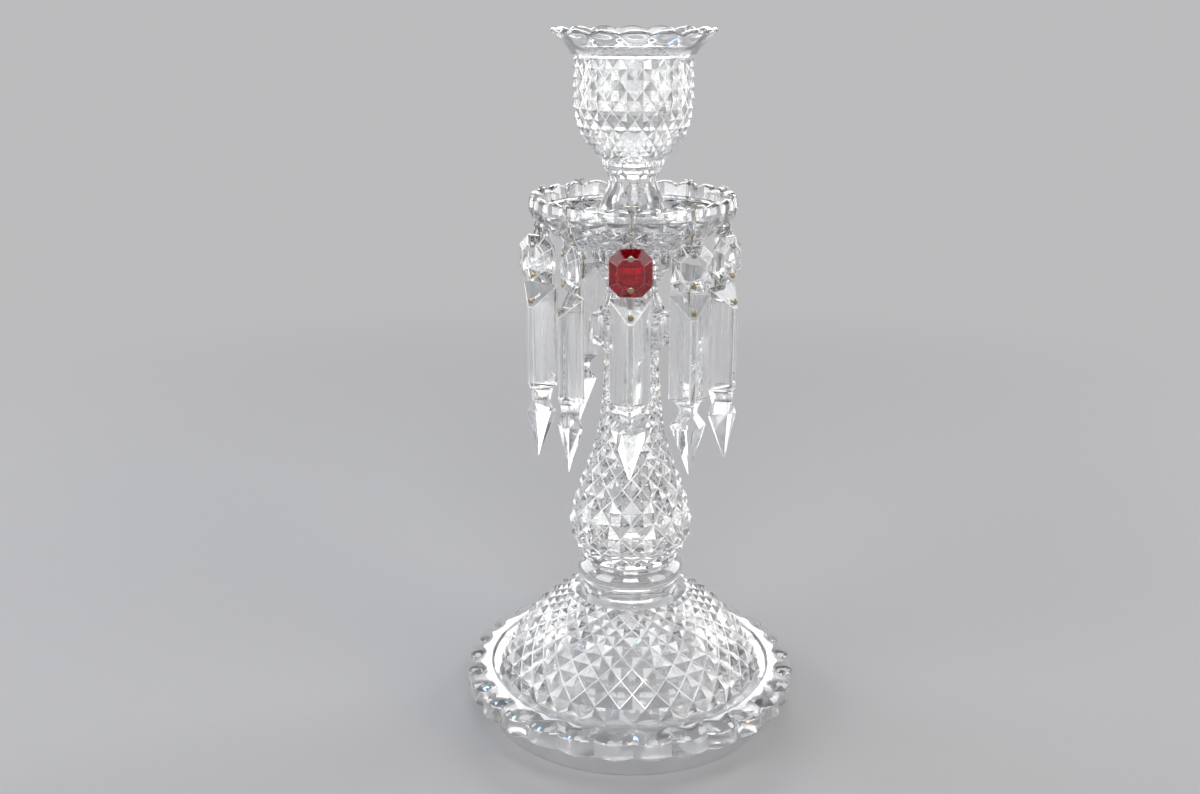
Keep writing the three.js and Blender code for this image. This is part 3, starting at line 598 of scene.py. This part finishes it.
# Drip pan: diamonds under the bowl, a plain ledge inside the rim, and ten small holes for the hangers
pan = {
    "bottom": 214.8, "sides": 96, "under": [(19.0, 0.2), (27.0, 1.8), (36.0, 7.07), (39.8, 11.4)],
    "diamonds": {"around": 24, "aspect": 1.27, "depth": 0.38, "softness": 0.2},
    "lobes": 24, "lobeSteps": 8,
    "rim": [(41.2, 12.0, 0.3, 0), (42.4, 13.1, 0.7, 0), (43.3, 15.0, 1.1, 0), (43.7, 17.4, 1.1, 0),
            (43.7, 19.3, 1.1, 0.3), (43.35, 21.2, 1.1, 0.8), (42.6, 22.15, 1.1, 1.3), (41.6, 22.4, 0.9, 1.5),
            (40.6, 22.2, 0.7, 1.5), (39.9, 21.4, 0.4, 1.2), (39.5, 20.0, 0.2, 0.6), (39.3, 18.4, 0, 0),
            (38.9, 16.4, 0, 0), (38.3, 15.9, 0, 0)],
    "ledgeInside": 36.7, "ledgeHeight": 15.4, "floorRadius": 18.0, "floorThickness": 5.2, "bore": 6.8,
    "holes": 10, "firstHole": -2.3, "holeReach": 41.2, "holeRadius": 1.1, "holeHeight": 18,
}


def makeDripPan():
    p = pan
    piece = startGlass("pressedDripPan", thinCrystal)
    low, high = diamondBand(p["under"], **p["diamonds"])
    lobedSleeve(p["lobes"], p["lobeSteps"], p["rim"])
    joinRings(high, p["rim"][0][:2], 0.8)
    dish = [(between(p["ledgeInside"], p["floorRadius"], share),
             between(p["ledgeHeight"], p["floorThickness"], math.sin(share * math.pi / 2)))
            for share in (step / 14 for step in range(15))]
    dish += [(p["bore"], p["floorThickness"]), (p["bore"], 0.0), (p["floorRadius"], 0.0)]
    sleeve(p["sides"], dish)
    joinRings(p["rim"][-1][:2], dish[0])
    joinRings(dish[-1], low)
    closePiece(piece, 0)
    spots = [spotAt(turn, p["holeReach"], p["holeHeight"]) for turn in evenTurns(p["holes"], p["firstHole"])]
    cutAt(piece, spots, metre, bpy.ops.mesh.primitive_cylinder_add, radius=p["holeRadius"], **drill)
    setAt(piece, p["bottom"])
    handOver(piece, "pan", ["drip_pan"])


makeDripPan()
print("drip pan done")

# Candle cup: spigot, fluted stem, ring of small facets, bowl of diamonds and a flared, waved lip
cup = {
    "bottom": 220.3, "sides": 96,
    "bowl": [(14.3, 32.1), (18.5, 35.8), (21.6, 40.4), (23.6, 46.0), (24.8, 52.0), (24.8, 62.6),
             (24.8, 72.2)],
    "diamonds": {"around": 24, "aspect": 1.2, "depth": 0.38, "softness": 0.2},
    "spigot": [(5.4, -32.5), (6.0, -31.9), (6.0, 0.0)],
    "stemFlutes": 12,
    "stem": [(14.0, 0.0, -0.4, 0), (14.5, 0.5, -0.5, 0), (14.5, 2.4, -0.5, 0), (14.1, 7.4, -0.5, 0),
             (13.0, 12.4, -0.6, 0), (11.4, 15.6, -0.6, 0), (10.2, 18.2, -0.6, 0), (9.6, 20.6, -0.6, 0),
             (9.6, 23.4, -0.6, 0), (10.3, 25.6, -0.6, 0), (11.2, 27.2, -0.6, 0), (12.0, 28.2, -0.5, 0)],
    "knopFacets": 24,
    "knop": [(12.7, 28.7, 0.2, 0), (13.2, 29.1, 0.5, 0), (13.2, 30.9, 0.5, 0), (12.9, 31.3, 0.3, 0)],
    "lipLobes": 16,
    "lip": [(24.7, 73.1, 0, 0), (25.9, 73.3, 0, 0), (26.2, 73.9, 0, 0), (26.8, 74.9, 0, 0),
            (28.7, 77.0, 0, 0), (30.0, 78.4, 0, 0), (31.1, 79.5, 0.2, 0), (32.0, 80.3, 0.6, 0.1),
            (32.8, 80.9, 1.0, 0.3), (33.7, 81.8, 1.4, 0.6), (33.8, 82.5, 1.4, 1.0), (33.3, 83.1, 1.4, 1.4),
            (32.4, 83.3, 1.4, 1.6), (31.4, 82.8, 1.1, 1.4), (30.4, 81.8, 0.6, 0.8), (29.2, 80.6, 0.2, 0.25),
            (27.6, 79.0, 0, 0), (24.6, 76.0, 0, 0), (22.4, 73.8, 0, 0)],
    "inside": [(21.3, 72.2), (21.3, 56.0), (21.0, 53.2), (19.8, 51.0), (11.8, 45.9), (11.3, 45.2),
               (11.3, 34.2)],
}


def makeCandleCup():
    c = cup
    piece = startGlass("pressedCandleCup", pressedCrystal)
    low, high = diamondBand(c["bowl"], **c["diamonds"])
    sleeve(c["sides"] // 2, c["spigot"])
    capRing(*c["spigot"][0])
    lobedSleeve(c["stemFlutes"], 8, c["stem"])
    joinRings(c["spigot"][-1], c["stem"][0][:2], 0.9)
    lobedSleeve(c["knopFacets"], 4, c["knop"])
    joinRings(c["stem"][-1][:2], c["knop"][0][:2], 0.9)
    joinRings(c["knop"][-1][:2], low, 0.9)
    lobedSleeve(c["lipLobes"], 8, c["lip"], True)
    joinRings(high, c["lip"][0][:2], 0.9)
    sleeve(c["sides"], c["inside"])
    joinRings(c["lip"][-1][:2], c["inside"][0])
    capRing(*c["inside"][-1])
    closePiece(piece, c["bottom"])
    (widest, top), (_, floor) = c["inside"][0], c["inside"][-1]
    lineInside(piece, c["bottom"], lambda radius, height: (
        radius < widest + 0.3 and floor - 0.1 < height < top + 0.3))
    handOver(piece, "cup", ["candle_cup"])


makeCandleCup()
print("candle cup done")

# Chains: an eye through the rim, a hook pin, an octagon, a link pin and a prism, measured from the eye
chains = {
    "height": 224.2, "octagonCentre": -12.5, "prismHole": -29.5,
    "twist": [2, -23, -23, 6, -9, 12, -5, 8, 41, -31],  # how each one hangs, degrees
}
wires = {
    "radius": 0.36, "eyeBend": 0.35, "hookBend": 0.5, "linkBend": 0.8, "linkBack": 3.7,
    "eye": [(0.3, 0), (1.3, 1.35), (0.44, 3.4), (0.44, 13.66), (2.5, 13.66)],  # its right half: across, up
    "hook": [(-3.2, -6.3), (2.7, -6.3), (2.7, -3.9), (1.02, -0.816), (1.02, 0.408), (0.408, 1.02),
             (-0.408, 1.02), (-1.02, 0.408), (-1.02, -0.612)],  # back, up
    "headRadius": 1.25, "headSides": 32, "headThickness": 0.6, "headEdge": 0.18, "headCrown": 0.4,
}
stone = {
    "width": 17.3, "height": 19.4, "corner": 4.3, "girdle": 1.4, "depth": 5.8, "table": 0.62,
    "star": 0.52, "starTurn": 22.5, "starPoint": 0.4, "facetAngle": 0.12, "softness": 0.2,
    "hole": 0.75, "pin": 6.2,
}


def drillThrough(piece, heights):
    cutAt(piece, [(0, 0, height) for height in heights], 1, bpy.ops.mesh.primitive_cylinder_add,
          radius=stone["hole"], rotation=(math.radians(90), 0, 0), **drill)


def makeOctagon():  # a block with cut corners, a bevelled table in front and a star of eight facets behind
    s = stone
    piece = startPiece("octagonStone", bpy.ops.mesh.primitive_cube_add, size=1)
    for material in (cutCrystal, polishedEdge):
        piece.data.materials.append(material)
    choose("VERT")
    bpy.ops.transform.resize(value=(s["width"], s["girdle"], s["height"]))
    choose("EDGE", lambda edge: abs(edge.verts[0].co.y - edge.verts[1].co.y) > 0.5)
    bpy.ops.mesh.bevel(offset=s["corner"], segments=1, affect="EDGES")
    half = s["depth"] / 2
    rise = half - s["girdle"] / 2
    choose("FACE", lambda face: face.normal.y < -0.9)
    extrude((0, -rise, 0))
    bpy.ops.transform.resize(value=(s["table"], 1, s["table"]), center_override=(0, -half, 0))
    choose("FACE", lambda face: face.normal.y > 0.9)
    extrude((0, rise, 0))
    bpy.ops.transform.resize(value=(s["star"], 1, s["star"]), center_override=(0, half, 0))
    bpy.ops.transform.rotate(value=math.radians(s["starTurn"]), orient_axis="Y", center_override=(0, half, 0))
    bpy.ops.mesh.poke(offset=s["starPoint"])
    choose("FACE")
    bpy.ops.mesh.quads_convert_to_tris(quad_method="SHORTEST_DIAGONAL")
    bpy.ops.mesh.dissolve_limited(angle_limit=math.radians(1))
    choose("EDGE", lambda edge: edge.calc_face_angle(0) > s["facetAngle"])
    softenEdges(s["softness"])
    bpy.ops.object.mode_set(mode="OBJECT")
    drillThrough(piece, (s["pin"], -s["pin"]))
    return piece


prism = {
    "width": 16.6, "depth": 8.4, "ridge": 2.4, "back": 2.9, "edge": 1.1, "top": 6.2, "notch": 2.6,
    "body": 37.3, "neckDrop": 6.2, "neckWidth": 7.6, "neckDepth": 6.4,
    "spearShoulder": 4.9, "spearLength": 20.7, "spearWidth": 15.1, "spearDepth": 0.86, "spearFace": 6.2,
    "spearTip": 0.03, "facetAngle": 0.3, "shortEdge": 0.9, "softness": 0.16, "barSoftness": 0.3,
}


def makePrism():  # a bar with a slanted top, a hollow neck and a spearhead, hung by the hole at its origin
    p = prism
    slab = p["edge"]
    piece = startPiece("prismStone", bpy.ops.mesh.primitive_cube_add, size=1)
    for material in (cutCrystal, polishedEdge, streakedBack):
        piece.data.materials.append(material)
    choose("VERT")
    tall = p["top"] + p["body"]
    bpy.ops.transform.resize(value=(p["width"], slab, tall))
    bpy.ops.transform.translate(value=(0, p["back"] - slab / 2, p["top"] - tall / 2))
    choose("FACE", lambda face: face.normal.y < -0.9)
    extrude((0, slab - p["depth"], 0))
    bpy.ops.transform.resize(value=(p["ridge"] / p["width"], 1, 1), center_override=(0, 0, 0))
    low = Vector((0, p["back"] - p["depth"], -p["notch"]))
    high = Vector((0, p["back"] - slab * 0.6, p["top"] - 0.2))
    slope = (high - low).normalized()
    choose("FACE")
    bpy.ops.mesh.bisect(plane_co=low, plane_no=(0, -slope.z, slope.y), use_fill=True, clear_outer=True)
    middle = p["back"] - p["depth"] / 2
    shoulder = -p["body"]
    runs = []  # height, width and depth as shares of the bar
    for turn in (math.radians(90 * step / 7) for step in range(1, 8)):  # a round hollow down to the neck
        runs.append((shoulder - p["neckDrop"] * (1 - math.cos(turn)),
                     between(1, p["neckWidth"] / p["width"], math.sin(turn)),
                     between(1, p["neckDepth"] / p["depth"], math.sin(turn))))
    neck = shoulder - p["neckDrop"]
    runs.append((neck - p["spearShoulder"], p["spearWidth"] / p["width"], p["spearDepth"]))
    choose("FACE", lambda face: face.normal.z < -0.9)
    height, width, depth = shoulder, 1.0, 1.0
    for nextHeight, nextWidth, nextDepth in runs:
        extrude((0, 0, nextHeight - height))
        bpy.ops.transform.resize(value=(nextWidth / width, nextDepth / depth, 1),
                                 center_override=(0, middle, nextHeight))
        height, width, depth = nextHeight, nextWidth, nextDepth
    choose("VERT", lambda v: abs(v.co.z - height) < 10 * hair and v.co.y < middle)
    spread = p["spearFace"] / (p["ridge"] * width)
    bpy.ops.transform.resize(value=(spread, 1, 1), center_override=(0, 0, height))
    choose("FACE", lambda face: face.normal.z < -0.9 and face.calc_center_median().z < height + 0.1)
    extrude((0, 0, -p["spearLength"]))
    bpy.ops.transform.resize(value=(p["spearTip"], p["spearTip"], 1),
                             center_override=(0, middle, height - p["spearLength"]))
    faceOutwards()
    crisp = lambda edge: (
        edge.calc_face_angle(0) > p["facetAngle"] and edge.calc_length() > p["shortEdge"]
        and all(face.material_index == 0 for face in edge.link_faces))
    choose("EDGE", lambda edge: crisp(edge) and all(v.co.z > shoulder - 10 * hair for v in edge.verts))
    softenEdges(p["barSoftness"])
    choose("EDGE", lambda edge: crisp(edge) and all(v.co.z < shoulder - 0.5 for v in edge.verts))
    softenEdges(p["softness"])
    bpy.ops.object.mode_set(mode="OBJECT")
    for face in piece.data.polygons:  # the long clear flat at the back
        if face.material_index == 0 and face.normal.y > 0.99:
            face.material_index = insideSlot
    drillThrough(piece, [0])
    return piece


def roundCorners(points, rounding):
    path = [Vector(points[0])]
    for corner in zip(points, points[1:], points[2:]):
        before, corner, after = map(Vector, corner)
        reach = min(rounding, (before - corner).length * 0.45, (after - corner).length * 0.45)
        start = corner + (before - corner).normalized() * reach
        end = corner + (after - corner).normalized() * reach
        path += [start.lerp(corner, t).lerp(corner.lerp(end, t), t) for t in (0, 0.25, 0.5, 0.75, 1)]
    return path + [Vector(points[-1])]


def bendWire(name, points, rounding, heads=()):  # a wire bent through points, with domed heads at some
    path = roundCorners(points, rounding)
    line = bpy.data.curves.new(name, "CURVE")
    line.dimensions = "3D"
    line.bevel_depth = wires["radius"]
    line.bevel_resolution = 2
    line.use_fill_caps = True
    spline = line.splines.new("POLY")
    spline.points.add(len(path) - 1)
    for point, spot in zip(spline.points, path):
        point.co = (*spot, 1)
    wire = bpy.data.objects.new(name, line)
    bpy.context.scene.collection.objects.link(wire)
    selectOnly(wire)
    bpy.ops.object.convert(target="MESH")
    parts = [bpy.context.object]
    thick = wires["headThickness"]
    for across, back, up in heads:  # a flat head with a rounded edge and a low crown, which faces forward
        head = startPiece("head", bpy.ops.mesh.primitive_cylinder_add, vertices=wires["headSides"],
                          radius=wires["headRadius"], depth=thick * 0.75, rotation=(math.radians(90), 0, 0))
        choose("FACE", lambda face: face.normal.z > 0.9)
        bpy.ops.mesh.bevel(offset=wires["headEdge"], segments=3, affect="EDGES")
        choose("FACE", lambda face: face.normal.z > 0.99)
        bpy.ops.mesh.inset(thickness=wires["headCrown"])
        bpy.ops.transform.translate(value=(0, -thick * 0.15, 0))
        bpy.ops.object.mode_set(mode="OBJECT")
        head.location = (across, back - thick * 0.4, up)
        parts.append(head)
    return joinObjects(parts, 1)


def makeChainPieces():
    w, p = wires, prism
    leftLeg = [(-across, 0, up) for across, up in reversed(w["eye"])]
    rightLeg = [(across, 0, up) for across, up in w["eye"]]
    hanger = bendWire("hangerWire", leftLeg + rightLeg, w["eyeBend"])
    hook = [(0, *spot) for spot in w["hook"]]
    upper = bendWire("upperWire", hook, w["hookBend"], hook[:1])
    share = p["notch"] / (p["top"] + p["notch"])  # where the slanted top meets the hole
    face = between(p["back"] - p["depth"], p["back"] - p["edge"], share) - w["headRadius"] * 1.1
    pin, hole = chains["octagonCentre"] - stone["pin"], chains["prismHole"]
    link = [(0, hook[0][1], pin), (0, w["linkBack"], pin), (0, w["linkBack"], hole), (0, face, hole)]
    lower = bendWire("lowerWire", link, w["linkBend"], (link[0], link[-1]))
    octagon, drop = makeOctagon(), makePrism()
    for part, height in ((octagon, chains["octagonCentre"]), (drop, hole)):
        part.location.z = height
        settle(part)
    return hanger, upper, octagon, lower, drop


def hangChains():
    patterns = makeChainPieces()
    for k, turn in enumerate(evenTurns(pan["holes"], pan["firstHole"])):
        number = f"{k + 1:02d}"
        octagonBody, prismBody = "octagon_" + number, "prism_" + number
        rows = [("eyeWire", "hanger_", "pan", "wire", paleWire, "wire"),
                ("hookPin", "upper_link_", octagonBody, "wire", paleWire, "wire"),
                ("cutOctagon", "octagon_", octagonBody, "ruby_crystal" if k == 0 else "crystal", None, "cut"),
                ("linkPin", "lower_link_", prismBody, "wire", brassPin, "wire"),
                ("cutPrism", "prism_", prismBody, "crystal", None, "cut")]
        for pattern, (name, node, body, slot, material, finish) in zip(patterns, rows):
            piece = pattern.copy()
            piece.data = pattern.data.copy()
            piece.name = piece.data.name = name + number
            bpy.context.scene.collection.objects.link(piece)
            piece.scale = (metre,) * 3
            piece.rotation_euler.z = turn + math.radians(chains["twist"][k])
            piece.location = [value * metre for value in spotAt(turn, pan["holeReach"], chains["height"])]
            settle(piece)
            bpy.ops.object.shade_smooth_by_angle(angle=math.radians(crispFrom[finish]))
            if slot == "ruby_crystal":
                piece.data.materials[0], piece.data.materials[edgeSlot] = rubyCrystal, rubyEdge
            handOver(piece, body, [node + number], material)
    for pattern in patterns:
        bpy.data.objects.remove(pattern, do_unlink=True)


hangChains()
print("chains done")

# Camera, floor and light
camera = {
    "place": (-0.0137, -0.5539, 0.3188), "lookDown": 17.124, "lens": 39.85, "sensor": 36.0, "nearest": 0.01,
}
bpy.ops.object.camera_add(location=camera["place"], rotation=(math.radians(90 - camera["lookDown"]), 0, 0))
view = bpy.context.object
view.name = "photoCamera"
view.data.lens = camera["lens"]
view.data.sensor_width = camera["sensor"]
view.data.clip_start = camera["nearest"]
bpy.context.scene.camera = view

studio = {
    "centre": 0.2, "floorRadius": 1.7, "wallHeight": 1.25, "sweep": 0.5, "sides": 96,
    "paleTone": (0.5, 0.5, 0.51, 1), "paperRoughness": 0.75, "paperShine": 0.2,
    "evenFrom": 0.32, "evenTo": 0.85,
    "ceiling": (0.02, 0.02, 0.025, 1), "ceilingFrom": 0.2,
    "panelReach": 0.95, "panelWidth": 0.6, "aim": 0.15,
    "panels": [  # from the front, to the right all round: lower edge, upper edge, brightness of its face
        (0.4, 1.05, 3.8), (0.05, 1.0, 1.8), (0.05, 1.0, 2.1),
        (0.37, 1.05, 2.8), (0.05, 1.0, 2.1), (0.05, 1.0, 2.2)],
}
lamps = [  # name, place, size across and up, brightness of its face, colour
    ("topPanel", (0.0, -0.1, 1.25), (0.7, 0.7), 1.8, (1, 1, 1)),
    ("leftSpark", (-1.1, 0.1, 0.75), (0.1, 0.1), 22, (1, 1, 1)),
    ("rightSpark", (0.75, 0.35, 1.0), (0.1, 0.1), 22, (1, 1, 1)),
    ("frontSpark", (0.2, -1.0, 0.9), (0.1, 0.1), 22, (1, 1, 1)),
    ("warmSpark", (0.9, -0.8, 0.45), (0.1, 0.1), 16, (1, 0.5, 0.16)),
    ("coolSpark", (-0.5, 0.3, 1.05), (0.1, 0.1), 16, (0.25, 0.5, 1)),
]


def makePaper():  # lit near the object, where it keeps the shadow, and even farther out
    paper = bpy.data.materials.new("palePaper")
    paper.use_nodes = True
    tree = paper.node_tree
    shader = tree.nodes["Principled BSDF"]
    shader.inputs["Base Color"].default_value = studio["paleTone"]
    shader.inputs["Roughness"].default_value = studio["paperRoughness"]
    shader.inputs["Specular IOR Level"].default_value = studio["paperShine"]
    even = addNode(tree, "Emission", Color=studio["paleTone"], Strength=1.0)
    where = addNode(tree, "TexCoord").outputs["Object"]
    reach = addNode(tree, "VectorMath", operation="LENGTH", Vector=where).outputs["Value"]
    far = addRange(tree, reach, studio["evenFrom"], studio["evenTo"], interpolation_type="SMOOTHSTEP")
    rays = addNode(tree, "LightPath").outputs
    seen = addMath(tree, "ADD", rays["Is Camera Ray"], rays["Is Glossy Ray"])
    seen = addMath(tree, "ADD", seen, rays["Is Transmission Ray"], use_clamp=True)
    mix = addNode(tree, "MixShader", Fac=addMath(tree, "MULTIPLY", far, seen))
    tree.links.new(shader.outputs[0], mix.inputs[1])
    tree.links.new(even.outputs[0], mix.inputs[2])
    tree.links.new(mix.outputs[0], tree.nodes["Material Output"].inputs["Surface"])
    return paper


def makeStudio():
    s = studio
    run = [(s["centre"], 0.0), (s["floorRadius"], 0.0)]
    for turn in (math.radians(k * 90 / 8) for k in range(1, 9)):
        run.append((s["floorRadius"] + s["sweep"] * math.sin(turn), s["sweep"] * (1 - math.cos(turn))))
    run.append((s["floorRadius"] + s["sweep"], s["wallHeight"]))
    piece = startTurned("paleFloor", s["sides"], run)
    choose("EDGE", lambda edge: len(edge.link_faces) == 1 and edge.verts[0].co.xy.length < s["centre"] + 0.1)
    bpy.ops.mesh.edge_face_add()
    faceOutwards()
    bpy.ops.object.mode_set(mode="OBJECT")
    bpy.ops.object.shade_smooth()
    piece.data.materials.append(makePaper())


def lightStudio():
    s = studio
    for k, (turn, (low, high, glow)) in enumerate(zip(evenTurns(len(s["panels"])), s["panels"])):
        spot = spotAt(turn, s["panelReach"], (low + high) / 2)
        lamps.append((f"sidePanel{k + 1}", spot, (s["panelWidth"], high - low), glow, (1, 1, 1)))
    for name, place, (across, up), brightness, colour in lamps:
        bpy.ops.object.light_add(type="AREA", location=place)
        lamp = bpy.context.object
        lamp.name = name
        lamp.data.shape = "RECTANGLE"
        lamp.data.size, lamp.data.size_y = across, up
        lamp.data.energy = brightness * math.pi * across * up
        lamp.data.color = colour
        lamp.visible_camera = False
        upright = place[2] if name.startswith("side") else s["aim"]
        lamp.rotation_euler = (Vector((0, 0, upright)) - Vector(place)).to_track_quat("-Z", "Y").to_euler()


def makeAir():  # pale along the horizon and dark overhead
    world = bpy.data.worlds.new("studioAir")
    bpy.context.scene.world = world
    world.use_nodes = True
    air = world.node_tree
    split = addNode(air, "SeparateXYZ", Vector=addNode(air, "TexCoord").outputs["Generated"])
    fade = addNode(air, "ValToRGB", Fac=split.outputs["Z"])
    horizon, ceiling = fade.color_ramp.elements
    horizon.position, horizon.color = 0.0, studio["paleTone"]
    ceiling.position, ceiling.color = studio["ceilingFrom"], studio["ceiling"]
    air.links.new(fade.outputs["Color"], air.nodes["Background"].inputs["Color"])


makeStudio()
lightStudio()
makeAir()
lightPaths = bpy.context.scene.cycles  # the many facets pass light on from one to the next
lightPaths.max_bounces, lightPaths.glossy_bounces, lightPaths.transmission_bounces = 24, 16, 24
bpy.context.scene.view_settings.view_transform = "Standard"
print("studio done")
